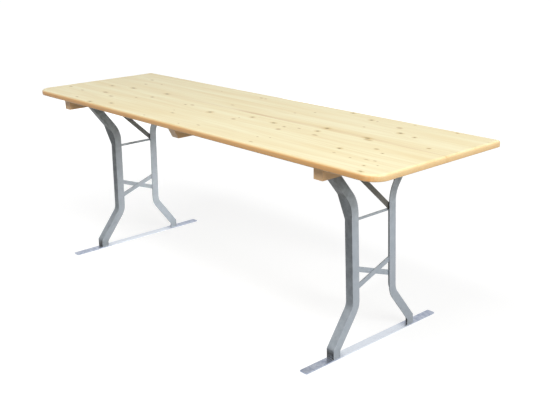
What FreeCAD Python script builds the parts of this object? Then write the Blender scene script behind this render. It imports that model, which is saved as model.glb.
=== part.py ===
import FreeCAD, Part
import math
import os

# Folding trestle table: a spruce top on two bent angle-iron frames that fold under it.
# Millimetres, +Z up, X along the top. The origin is on the floor below the middle of the top.
# Both frames are the same welded part, set the same way round, so the flat side of every
# angle iron looks towards +X. Each frame stands splayed out and folds in about its axle.

Vector = FreeCAD.Vector
X_AXIS = Vector(1, 0, 0)
Y_AXIS = Vector(0, 1, 0)
Z_AXIS = Vector(0, 0, 1)
ORIGIN = Vector(0, 0, 0)

# Wooden top
TOP_LENGTH = 2200.0
TOP_WIDTH = 670.0
TOP_THICKNESS = 25.0
TABLE_HEIGHT = 780.0
FRONT_CORNER_RADIUS = 65.0
REAR_CORNER_RADIUS = 12.0
UPPER_EDGE_RADIUS = 9.0
LOWER_EDGE_RADIUS = 4.0
CENTRE_SEAM_Y = 15.0
BOARD_NAMES = ["front", "mid_front", "mid_rear", "rear"]

# Battens below the top
BATTEN_WIDTH = 42.0
BATTEN_DEPTH = 42.0
BATTEN_END_INSET = 15.0
BATTEN_END_SLOPE = 22.0
BATTEN_AXLE_GAP = 35.0

# Axle and its straps
AXLE_DROP = 24.0
AXLE_DIAMETER = 12.0
AXLE_END_STUB = 10.0
RUNNING_CLEARANCE = 0.08
STRAP_THICKNESS = 3.0
STRAP_WIDTH = 20.0
STRAP_FOOT_LENGTH = 20.0
STRAP_LEG_GAP = 14.0

# Bent angle-iron legs; a share is a height as a part of the height of the axle
SPLAY_DEG = 2.0
ANGLE_WIDTH = 35.0
ANGLE_THICKNESS = 3.0
LEG_WAIST_Y = 119.5
LEG_TOP_ABOVE_AXLE = 12.0
UPPER_BEND_SHARE = 0.7784
UPPER_FLARE_DEG = 38.0
UPPER_BEND_RADIUS = 100.0
UPPER_KINK_REACH = 57.0
LOWER_BEND_SHARE = 0.2504
LOWER_FLARE_DEG = 37.0
LOWER_BEND_RADIUS = 50.0
ANKLE_Z = 42.0
FOLD_GAP = 28.0

# Foot bar, cross braces, rod and stay
FOOT_LENGTH = 728.0
FOOT_THICKNESS = 5.0
FOOT_CORNER_RADIUS = 3.0
BRACE_WIDTH = 20.0
BRACE_THICKNESS = 4.0
BRACE_UPPER_SHARE = 0.4350
BRACE_LOWER_SHARE = 0.3523
BRACE_RISING_DROP = 5.0
ROD_SHARE = 0.6910
ROD_DIAMETER = 10.0
STAY_WIDTH = 20.0
STAY_THICKNESS = 4.0
STAY_STRAP_GAP = 20.0

# Stop lug on the axle and the turn button that holds it
LUG_THICKNESS = 8.0
LUG_HUB_RADIUS = 10.0
LUG_NECK_INNER = 4.0
LUG_NECK_OUTER = 9.0
LUG_PAD_REACH = 23.0
LUG_PAD_DEPTH = 12.0
BUTTON_WIDTH = 12.0
BUTTON_THICKNESS = 4.0
BUTTON_GAP = 0.7
BUTTON_SIDE_GAP = 1.0
BUTTON_OVERLAP = 1.5
BUTTON_PIVOT_X = 17.5
BUTTON_PIN_DIAMETER = 6.0
BUTTON_POST_DIAMETER = 12.0
BUTTON_HEAD_HEIGHT = 3.0

# Sizes that follow from those above
UNDERSIDE_Z = TABLE_HEIGHT - TOP_THICKNESS
AXLE_Z = UNDERSIDE_Z - AXLE_DROP
AXLE_X = AXLE_Z + BATTEN_WIDTH / 2 + FOLD_GAP
AXLE_RADIUS = AXLE_DIAMETER / 2
END_BATTEN_X = AXLE_X + BATTEN_AXLE_GAP + BATTEN_WIDTH / 2
UPPER_BEND_Z = UPPER_BEND_SHARE * AXLE_Z
LOWER_BEND_Z = LOWER_BEND_SHARE * AXLE_Z
BRACE_UPPER_Z = BRACE_UPPER_SHARE * AXLE_Z
BRACE_LOWER_Z = BRACE_LOWER_SHARE * AXLE_Z
ROD_Z = ROD_SHARE * AXLE_Z
ROD_RADIUS = ROD_DIAMETER / 2
HALF_ANGLE = ANGLE_WIDTH / 2
FLANGE_BACK_X = HALF_ANGLE - ANGLE_THICKNESS
WEB_FACE_Y = LEG_WAIST_Y - ANGLE_THICKNESS
BUTTON_PIVOT_Y = LUG_THICKNESS / 2 + BUTTON_SIDE_GAP + BUTTON_WIDTH / 2
BUTTON_REACH = BUTTON_PIVOT_Y + LUG_THICKNESS / 2 + BUTTON_OVERLAP
SIDES = {"left": -1, "right": 1}
BEYOND = TABLE_HEIGHT


def box(low, high):
    """Return the box between two opposite corners."""
    size = high.sub(low)
    return Part.makeBox(size.x, size.y, size.z, low)


def bar_along_y(radius, y_start, y_end, x=0.0, z=0.0):
    """Return a round bar that runs along Y."""
    return Part.makeCylinder(radius, y_end - y_start, Vector(x, y_start, z), Y_AXIS)


def offset_path(points, distance):
    """Return the bent line moved sideways, towards the middle of the frame."""
    normals = []
    for start, end in zip(points, points[1:]):
        along = end.sub(start).normalize()
        normals.append(Vector(0, along.z, -along.y))
    moved = [points[0].add(Vector(normals[0]).multiply(distance))]
    for point, before, after in zip(points[1:], normals, normals[1:]):
        mitre = before.add(after).multiply(distance / (1 + before.dot(after)))
        moved.append(point.add(mitre))
    moved.append(points[-1].add(Vector(normals[-1]).multiply(distance)))
    return moved


def rounded_edges(points, radii):
    """Return lines and tangent arcs along the points; a radius of 0 keeps a sharp corner."""
    edges = []
    start = points[0]
    for before, corner, after, radius in zip(points, points[1:], points[2:], radii):
        back = before.sub(corner).normalize()
        ahead = after.sub(corner).normalize()
        half_turn = (math.pi - back.getAngle(ahead)) / 2
        reach = radius * math.tan(half_turn)
        arc_start = corner.add(Vector(back).multiply(reach))
        edges.append(Part.LineSegment(start, arc_start).toShape())
        start = corner.add(Vector(ahead).multiply(reach))
        if radius > 0:
            inward = back.add(ahead).normalize()
            depth = radius / math.cos(half_turn) - radius
            middle = corner.add(inward.multiply(depth))
            edges.append(Part.Arc(arc_start, middle, start).toShape())
    edges.append(Part.LineSegment(start, points[-1]).toShape())
    return edges


def bent_strip(points, radii, width):
    """Return the flat face that lies between a bent line and its copy moved sideways."""
    inner_radii = [radius + width if radius > 0 else 0 for radius in radii]
    inner = offset_path(points, width)
    edges = rounded_edges(points, radii) + rounded_edges(inner, inner_radii)
    edges.append(Part.LineSegment(points[0], inner[0]).toShape())
    edges.append(Part.LineSegment(points[-1], inner[-1]).toShape())
    return Part.Face(Part.Wire(Part.sortEdges(edges)[0]))


def flat_bar(start, end, width, thickness, x, overrun=0.0):
    """Return a flat bar with round ends in the plane of the frame, its back face at x."""
    along = end.sub(start)
    length = along.Length + 2 * overrun
    along.normalize()
    across = X_AXIS.cross(along).multiply(width / 2)
    first = start.sub(Vector(along).multiply(overrun))
    last = Vector(first).add(Vector(along).multiply(length))
    half = Vector(along).multiply(width / 2)
    edges = [
        Part.LineSegment(first.add(across), last.add(across)).toShape(),
        Part.Arc(last.add(across), last.add(half), last.sub(across)).toShape(),
        Part.LineSegment(last.sub(across), first.sub(across)).toShape(),
        Part.Arc(first.sub(across), first.sub(half), first.add(across)).toShape(),
    ]
    face = Part.Face(Part.Wire(edges))
    face.translate(Vector(x, 0, 0))
    return face.extrude(Vector(thickness, 0, 0))


def top_blank():
    """Return the whole top: wide round corners in front, small ones behind, eased upper and lower edges."""
    half_length = TOP_LENGTH / 2
    half_width = TOP_WIDTH / 2
    low = Vector(-half_length, -half_width, UNDERSIDE_Z)
    plate = box(low, Vector(half_length, half_width, TABLE_HEIGHT))
    for sign, radius in ((-1, FRONT_CORNER_RADIUS), (1, REAR_CORNER_RADIUS)):
        corner_y = sign * half_width
        uprights = [edge for edge in plate.Edges if edge.BoundBox.ZLength > TOP_THICKNESS / 2]
        corners = [edge for edge in uprights if abs(edge.CenterOfMass.y - corner_y) < REAR_CORNER_RADIUS]
        plate = plate.makeFillet(radius, corners)
    for z, radius in ((TABLE_HEIGHT, UPPER_EDGE_RADIUS), (UNDERSIDE_Z, LOWER_EDGE_RADIUS)):
        boxes = [(edge, edge.BoundBox) for edge in plate.Edges]
        rim = [edge for edge, bounds in boxes if max(abs(bounds.ZMin - z), abs(bounds.ZMax - z)) < 0.1]
        plate = plate.makeFillet(radius, rim)
    return plate


def board_edges_y():
    """Return the Y of the front edge, the three glue lines and the rear edge."""
    front = -TOP_WIDTH / 2
    rear = TOP_WIDTH / 2
    return [front, (front + CENTRE_SEAM_Y) / 2, CENTRE_SEAM_Y, (rear + CENTRE_SEAM_Y) / 2, rear]


def batten_positions():
    """Return the X of the middle of each batten by name."""
    return {"left": -END_BATTEN_X, "middle": 0.0, "right": END_BATTEN_X}


def leg_y_at_axle():
    """Return how far from the middle the outer side of a leg crosses the axle."""
    return LEG_WAIST_Y + (AXLE_Z - UPPER_BEND_Z) * math.tan(math.radians(UPPER_FLARE_DEG))


def strap_y():
    """Return how far from the middle the straps sit, just inside the legs."""
    leg_inner_y = leg_y_at_axle() - ANGLE_WIDTH / math.cos(math.radians(UPPER_FLARE_DEG))
    return leg_inner_y - STRAP_LEG_GAP - STRAP_WIDTH / 2


def strap_places():
    """Return the X and Y of every axle strap by name."""
    places = {}
    for side, sign in SIDES.items():
        places[side + "_front"] = Vector(sign * AXLE_X, -strap_y(), 0)
        places[side + "_rear"] = Vector(sign * AXLE_X, strap_y(), 0)
    return places


def button_places():
    """Return the X and Y of every turn-button pivot by side."""
    places = {}
    for side, sign in SIDES.items():
        places[side] = Vector(sign * (AXLE_X + BUTTON_PIVOT_X), BUTTON_PIVOT_Y, 0)
    return places


def top_boards():
    """Return the glued boards of the top by name."""
    blank = top_blank()
    lines = board_edges_y()
    boards = {}
    for name, front, rear in zip(BOARD_NAMES, lines, lines[1:]):
        slice_box = box(Vector(-TOP_LENGTH, front, 0), Vector(TOP_LENGTH, rear, 2 * TABLE_HEIGHT))
        boards["top_board_" + name] = blank.common(slice_box)
    return boards


def batten(name, x):
    """Return one batten; the ends of the middle one are sloped."""
    half_top = TOP_WIDTH / 2 - BATTEN_END_INSET
    slope = BATTEN_END_SLOPE if name == "middle" else 0.0
    bottom = UNDERSIDE_Z - BATTEN_DEPTH
    left = x - BATTEN_WIDTH / 2
    outline = [
        Vector(left, -half_top, UNDERSIDE_Z),
        Vector(left, half_top, UNDERSIDE_Z),
        Vector(left, half_top - slope, bottom),
        Vector(left, -half_top + slope, bottom),
    ]
    face = Part.Face(Part.makePolygon(outline + outline[:1]))
    return face.extrude(Vector(BATTEN_WIDTH, 0, 0))


def axle_strap(place):
    """Return the folded strap that carries the axle below the top."""
    y_start = place.y - STRAP_WIDTH / 2
    y_end = place.y + STRAP_WIDTH / 2
    bore = AXLE_RADIUS + RUNNING_CLEARANCE
    outer = bore + STRAP_THICKNESS
    reach = outer + STRAP_FOOT_LENGTH
    saddle = bar_along_y(outer, y_start, y_end, place.x, AXLE_Z)
    cheeks = box(Vector(place.x - outer, y_start, AXLE_Z), Vector(place.x + outer, y_end, UNDERSIDE_Z))
    foot_bottom = UNDERSIDE_Z - STRAP_THICKNESS
    feet = box(Vector(place.x - reach, y_start, foot_bottom), Vector(place.x + reach, y_end, UNDERSIDE_Z))
    hollow = bar_along_y(bore, y_start, y_end, place.x, AXLE_Z)
    slot = box(Vector(place.x - bore, y_start, AXLE_Z), Vector(place.x + bore, y_end, UNDERSIDE_Z))
    strap = saddle.fuse([cheeks, feet]).cut(hollow.fuse(slot))
    return strap.removeSplitter()


def leg_path():
    """Return the corner line of a leg, from above the axle down into the floor."""
    upper_slope = math.tan(math.radians(UPPER_FLARE_DEG))
    lower_slope = math.tan(math.radians(LOWER_FLARE_DEG))
    top_z = UNDERSIDE_Z + ANGLE_WIDTH
    ankle_y = LEG_WAIST_Y + (LOWER_BEND_Z - ANKLE_Z) * lower_slope
    return [
        Vector(0, LEG_WAIST_Y + (top_z - UPPER_BEND_Z) * upper_slope, top_z),
        Vector(0, LEG_WAIST_Y, UPPER_BEND_Z),
        Vector(0, LEG_WAIST_Y, LOWER_BEND_Z),
        Vector(0, ankle_y, ANKLE_Z),
        Vector(0, ankle_y, -ANGLE_WIDTH),
    ]


def kink_points():
    """Return the upper bend of the corner line with the places of the two kinks of the web's free edge."""
    above, corner, below = leg_path()[:3]
    upper = corner.add(above.sub(corner).normalize().multiply(UPPER_KINK_REACH))
    lower = corner.add(below.sub(corner).normalize().multiply(UPPER_KINK_REACH))
    return [upper, corner, lower]


def three_chords(start, end, edges):
    """Return the straight line from start to end, parted like the three given edges."""
    total = sum(edge.Length for edge in edges)
    marks = [0.0, edges[0].Length / total, 1 - edges[2].Length / total, 1.0]
    ends = [start.add(end.sub(start).multiply(mark)) for mark in marks]
    return [Part.LineSegment(first, last).toShape() for first, last in zip(ends, ends[1:])]


def web_bend():
    """Return the web at the upper bend: round by the flange, a flat between two kinks at its free edge."""
    outer = kink_points()
    inner = offset_path(outer, ANGLE_THICKNESS)
    round_outer = rounded_edges(outer, [UPPER_BEND_RADIUS])
    round_inner = rounded_edges(inner, [UPPER_BEND_RADIUS + ANGLE_THICKNESS])
    flat_outer = three_chords(outer[0], outer[-1], round_outer)
    flat_inner = three_chords(inner[0], inner[-1], round_inner)
    caps = [Part.LineSegment(inner[i], outer[i]).toShape() for i in (0, -1)]
    sections = []
    for x, far, near in ((FLANGE_BACK_X, round_outer, round_inner), (-HALF_ANGLE, flat_outer, flat_inner)):
        wire = Part.Wire(Part.sortEdges(far + near + caps)[0])
        wire.translate(Vector(x, 0, 0))
        sections.append(wire)
    return Part.makeLoft(sections, True, True)


def upright_leg():
    """Return the rear leg of a frame that stands square, with the axle hole in its web."""
    points = leg_path()
    flange = bent_strip(points, [UPPER_BEND_RADIUS, LOWER_BEND_RADIUS, 0], ANGLE_WIDTH)
    flange.translate(Vector(FLANGE_BACK_X, 0, 0))
    upper_kink, _, lower_kink = kink_points()
    upper_web = bent_strip([points[0], upper_kink], [], ANGLE_THICKNESS)
    lower_web = bent_strip([lower_kink] + points[2:], [LOWER_BEND_RADIUS, 0], ANGLE_THICKNESS)
    leg = flange.extrude(Vector(ANGLE_THICKNESS, 0, 0)).fuse(web_bend())
    for web in (upper_web, lower_web):
        web.translate(Vector(-HALF_ANGLE, 0, 0))
        leg = leg.fuse(web.extrude(Vector(ANGLE_WIDTH, 0, 0)))
    top_z = AXLE_Z + LEG_TOP_ABOVE_AXLE
    keep = box(Vector(-BEYOND, -BEYOND, -BEYOND), Vector(BEYOND, BEYOND, top_z))
    bore = bar_along_y(AXLE_RADIUS + RUNNING_CLEARANCE, 0, BEYOND, 0, AXLE_Z)
    return leg.common(keep).cut(bore).removeSplitter()


def splay(shape, sign):
    """Return the shape of an upright frame leaned outwards about its axle and set in place."""
    leaned = shape.copy()
    leaned.rotate(Vector(0, 0, AXLE_Z), Y_AXIS, -sign * SPLAY_DEG)
    leaned.translate(Vector(sign * AXLE_X, 0, 0))
    return leaned


def leg(sign, rear):
    """Return one splayed leg, cut level where it stands on the foot bar."""
    shape = upright_leg()
    if not rear:
        shape = shape.mirror(ORIGIN, Y_AXIS)
    above_foot = box(Vector(-2 * BEYOND, -BEYOND, FOOT_THICKNESS), Vector(2 * BEYOND, BEYOND, 2 * BEYOND))
    return splay(shape, sign).common(above_foot).removeSplitter()


def foot_bar(sign):
    """Return the flat foot bar, level on the floor below the splayed legs."""
    middle = sign * (AXLE_X + (AXLE_Z - FOOT_THICKNESS) * math.tan(math.radians(SPLAY_DEG)))
    half_length = FOOT_LENGTH / 2
    low = Vector(middle - HALF_ANGLE, -half_length, 0)
    high = Vector(middle + HALF_ANGLE, half_length, FOOT_THICKNESS)
    bar = box(low, high)
    uprights = [edge for edge in bar.Edges if edge.BoundBox.ZLength > FOOT_THICKNESS / 2]
    return bar.makeFillet(FOOT_CORNER_RADIUS, uprights)


def brace(sign, rising):
    """Return one of the crossed braces; the rising one lies against the flanges."""
    inner_y = LEG_WAIST_Y - ANGLE_WIDTH
    front_z, rear_z = (BRACE_LOWER_Z, BRACE_UPPER_Z) if rising else (BRACE_UPPER_Z, BRACE_LOWER_Z)
    drop = BRACE_RISING_DROP if rising else 0.0
    start = Vector(0, -inner_y, front_z - drop)
    end = Vector(0, inner_y, rear_z - drop)
    x = FLANGE_BACK_X - BRACE_THICKNESS if rising else FLANGE_BACK_X - 2 * BRACE_THICKNESS
    bar = flat_bar(start, end, BRACE_WIDTH, BRACE_THICKNESS, x, 2 * ANGLE_WIDTH)
    between = box(Vector(-BEYOND, -WEB_FACE_Y, 0), Vector(BEYOND, WEB_FACE_Y, TABLE_HEIGHT))
    return splay(bar.common(between), sign)


def tie_rod(sign):
    """Return the round rod between the two legs, below the stay."""
    return splay(bar_along_y(ROD_RADIUS, -WEB_FACE_Y, WEB_FACE_Y, AXLE_RADIUS - ROD_RADIUS, ROD_Z), sign)


def stay(sign):
    """Return the flat stay that runs from the rear end of the rod up to the axle."""
    foot_y = WEB_FACE_Y - STAY_WIDTH / 2
    head_y = -(strap_y() - STRAP_WIDTH / 2 - STAY_STRAP_GAP - STAY_WIDTH / 2)
    start = Vector(0, foot_y, ROD_Z)
    end = Vector(0, head_y, AXLE_Z)
    return splay(flat_bar(start, end, STAY_WIDTH, STAY_THICKNESS, AXLE_RADIUS), sign)


def axle(sign):
    """Return the axle that is welded through the webs of both legs."""
    half_length = leg_y_at_axle() + AXLE_END_STUB
    return bar_along_y(AXLE_RADIUS, -half_length, half_length, sign * AXLE_X, AXLE_Z)


def place_on_axle(shape, sign):
    """Return a shape made about the axle, facing outwards, set in place on its side."""
    placed = shape.mirror(ORIGIN, X_AXIS) if sign < 0 else shape.copy()
    placed.translate(Vector(sign * AXLE_X, 0, AXLE_Z))
    return placed


def stop_arm(sign):
    """Return the arm that stands up from the axle and carries the stop pad."""
    half = LUG_THICKNESS / 2
    outline = [
        Vector(-LUG_NECK_INNER, -half, 0),
        Vector(-LUG_NECK_INNER, -half, AXLE_DROP - 2 * LUG_NECK_INNER),
        Vector(LUG_NECK_INNER, -half, AXLE_DROP),
        Vector(LUG_NECK_OUTER, -half, AXLE_DROP),
        Vector(LUG_NECK_OUTER, -half, 0),
    ]
    face = Part.Face(Part.makePolygon(outline + outline[:1]))
    arm = face.extrude(Vector(0, LUG_THICKNESS, 0)).fuse(bar_along_y(LUG_HUB_RADIUS, -half, half))
    arm = arm.cut(bar_along_y(AXLE_RADIUS + RUNNING_CLEARANCE, -half, half)).removeSplitter()
    return place_on_axle(arm, sign)


def stop_pad(sign):
    """Return the pad on the arm, which meets the top when the frame stands."""
    half = LUG_THICKNESS / 2
    low = Vector(LUG_NECK_OUTER, -half, AXLE_DROP - LUG_PAD_DEPTH)
    return place_on_axle(box(low, Vector(LUG_PAD_REACH, half, AXLE_DROP)), sign)


def button_top_z():
    """Return the height of the upper face of the turn buttons."""
    return UNDERSIDE_Z - LUG_PAD_DEPTH - BUTTON_GAP


def turn_button(place):
    """Return the turn button, turned away from the pad."""
    half = BUTTON_WIDTH / 2
    low_z = button_top_z() - BUTTON_THICKNESS
    tip = BUTTON_REACH - half
    blade = box(Vector(-half, 0, low_z), Vector(half, tip, low_z + BUTTON_THICKNESS))
    ends = [Part.makeCylinder(half, BUTTON_THICKNESS, Vector(0, y, low_z)) for y in (0, tip)]
    pin_radius = BUTTON_PIN_DIAMETER / 2 + RUNNING_CLEARANCE
    hole = Part.makeCylinder(pin_radius, BUTTON_THICKNESS, Vector(0, 0, low_z))
    button = blade.fuse(ends).cut(hole).removeSplitter()
    button.translate(place)
    return button


def button_post(place):
    """Return the shouldered pivot screw that carries a turn button."""
    top_z = button_top_z()
    low_z = top_z - BUTTON_THICKNESS
    sleeve = Part.makeCylinder(BUTTON_POST_DIAMETER / 2, UNDERSIDE_Z - top_z, Vector(0, 0, top_z))
    pin = Part.makeCylinder(BUTTON_PIN_DIAMETER / 2, BUTTON_THICKNESS, Vector(0, 0, low_z))
    head = Part.makeCylinder(BUTTON_WIDTH / 2, BUTTON_HEAD_HEIGHT, Vector(0, 0, low_z - BUTTON_HEAD_HEIGHT))
    post = sleeve.fuse([pin, head]).removeSplitter()
    post.translate(place)
    return post


def all_nodes():
    """Return every piece of the table by its node name."""
    nodes = top_boards()
    for name, x in batten_positions().items():
        nodes["batten_" + name] = batten(name, x)
    for name, place in strap_places().items():
        nodes["axle_strap_" + name] = axle_strap(place)
    for side, sign in SIDES.items():
        nodes["leg_" + side + "_front"] = leg(sign, False)
        nodes["leg_" + side + "_rear"] = leg(sign, True)
        nodes["foot_bar_" + side] = foot_bar(sign)
        nodes["brace_rising_" + side] = brace(sign, True)
        nodes["brace_falling_" + side] = brace(sign, False)
        nodes["tie_rod_" + side] = tie_rod(sign)
        nodes["stay_" + side] = stay(sign)
        nodes["axle_" + side] = axle(sign)
        nodes["stop_arm_" + side] = stop_arm(sign)
        nodes["stop_pad_" + side] = stop_pad(sign)
        nodes["turn_button_" + side] = turn_button(button_places()[side])
        nodes["button_post_" + side] = button_post(button_places()[side])
    return nodes


def main():
    """Write each piece to its own file."""
    os.makedirs("parts", exist_ok=True)
    for name, shape in all_nodes().items():
        shape.exportStep(os.path.join("parts", name + ".step"))
        print(name, len(shape.Solids), round(shape.Volume), shape.isValid())


main()
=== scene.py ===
"""Folding trestle table: a lacquered spruce top on two bent angle-iron frames.

The shapes of the top, battens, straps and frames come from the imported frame. This script dresses
them and adds the fasteners and the weld beads. Sizes are in millimetres, places in the row frame.
"""

from __future__ import annotations

import logging
import math
from dataclasses import dataclass
from enum import Enum

import bmesh
import bpy
from mathutils import Matrix, Vector


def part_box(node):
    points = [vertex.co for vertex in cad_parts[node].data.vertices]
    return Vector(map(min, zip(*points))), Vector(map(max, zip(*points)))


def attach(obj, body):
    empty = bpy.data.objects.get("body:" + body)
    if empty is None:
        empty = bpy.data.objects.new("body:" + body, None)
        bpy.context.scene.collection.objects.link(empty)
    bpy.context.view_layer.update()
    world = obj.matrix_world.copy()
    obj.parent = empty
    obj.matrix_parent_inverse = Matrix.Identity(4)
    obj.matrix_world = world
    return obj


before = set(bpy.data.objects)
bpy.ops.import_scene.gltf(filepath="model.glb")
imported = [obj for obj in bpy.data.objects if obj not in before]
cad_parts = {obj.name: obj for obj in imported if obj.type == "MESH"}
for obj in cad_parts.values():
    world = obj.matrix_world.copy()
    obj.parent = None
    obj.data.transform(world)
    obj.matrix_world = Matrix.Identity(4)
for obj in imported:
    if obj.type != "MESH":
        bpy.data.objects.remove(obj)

LOG = logging.getLogger("trestle_table")
MM = 0.001
# Half-way up the boards of the top, in millimetres above the floor.
BOARD_MIDDLE = 768.0

Tree = bpy.types.NodeTree
Socket = bpy.types.NodeSocket
Material = bpy.types.Material
Mesh = bpy.types.Mesh
Triple = tuple[float, float, float]
Colour = tuple[float, float, float, float]
Row = tuple[int, int, int, int]


class Side(Enum):
    """The end of the table, with its sign along X."""

    LEFT = -1
    RIGHT = 1

    @property
    def label(self) -> str:
        """The side's name as the nodes and bodies spell it."""
        return self.name.lower()


class GrainAxis(Enum):
    """The way the grain of a piece of wood runs, as a turn about Z in degrees."""

    ALONG_X = 0.0
    ALONG_Y = 90.0

    @property
    def letter(self) -> str:
        """The letter of the axis."""
        return self.name[-1]


class ScrewHead(Enum):
    """The kinds of screw head below the top."""

    PAN = "pan"
    RAISED = "raised"


def linear(hex_colour: str) -> Colour:
    """Turn an sRGB hex colour to linear.

    Args:
        hex_colour: six hex digits after a number sign.

    Returns:
        Red, green, blue and an alpha of 1.
    """
    channels = [int(hex_colour[i : i + 2], 16) / 255 for i in (1, 3, 5)]
    low = [c / 12.92 if c <= 0.04045 else ((c + 0.055) / 1.055) ** 2.4 for c in channels]
    return (low[0], low[1], low[2], 1.0)


def grey(value: float) -> Colour:
    """Return a neutral linear colour of that value."""
    return (value, value, value, 1.0)


def add_node(
    tree: Tree, kind: str, inputs: dict | None = None, out: int | str = 0, **settings: object
) -> Socket | None:
    """Add a node with its settings and links.

    Args:
        tree: the node tree that gets the node.
        kind: the node's type name, without the ShaderNode in front.
        inputs: value or output socket for each input, by name or number.
        out: the output to return, by name or number.
        **settings: attributes of the node; stops fills a colour ramp.

    Returns:
        The chosen output of the new node, or None if it has no outputs.
    """
    node = tree.nodes.new("ShaderNode" + kind)
    for name, value in settings.items():
        if name == "stops":
            ramp = node.color_ramp
            while len(ramp.elements) < len(value):
                ramp.elements.new(0.5)
            for element, (position, colour) in zip(ramp.elements, value):
                element.position = position
                element.color = colour
        else:
            setattr(node, name, value)
    for key, value in (inputs or {}).items():
        if isinstance(value, Socket):
            tree.links.new(value, node.inputs[key])
        else:
            node.inputs[key].default_value = value
    return node.outputs[out] if len(node.outputs) else None


def new_material(name: str) -> tuple[Material, Tree]:
    """Make an empty node material.

    Args:
        name: the material's name.

    Returns:
        The material and its node tree with nothing in it.
    """
    material = bpy.data.materials.new(name)
    material.use_nodes = True
    material.node_tree.nodes.clear()
    return material, material.node_tree


def close_material(tree: Tree, inputs: dict) -> None:
    """Add the shader and the output of a material.

    Args:
        tree: the material's node tree.
        inputs: value or socket for each input of the shader.
    """
    shader = add_node(tree, "BsdfPrincipled", inputs)
    add_node(tree, "OutputMaterial", {"Surface": shader})


@dataclass(frozen=True)
class Span:
    """How a reading turns into a share: its low and high end, and the share at each."""

    low: float
    high: float
    at_low: float = 0.0
    at_high: float = 1.0

    def of(self, reading: Socket, unit: float = 1.0) -> dict[int, Socket | float]:
        """Return the inputs of the node that reads it, with the ends in a unit."""
        ends = {1: self.low * unit, 2: self.high * unit}
        return {0: reading, **ends, 3: self.at_low, 4: self.at_high}


@dataclass(frozen=True)
class Knot:
    """A knot in a board: place of its middle and half sizes, in millimetres."""

    x: float
    y: float
    half_length: float
    half_width: float


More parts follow.
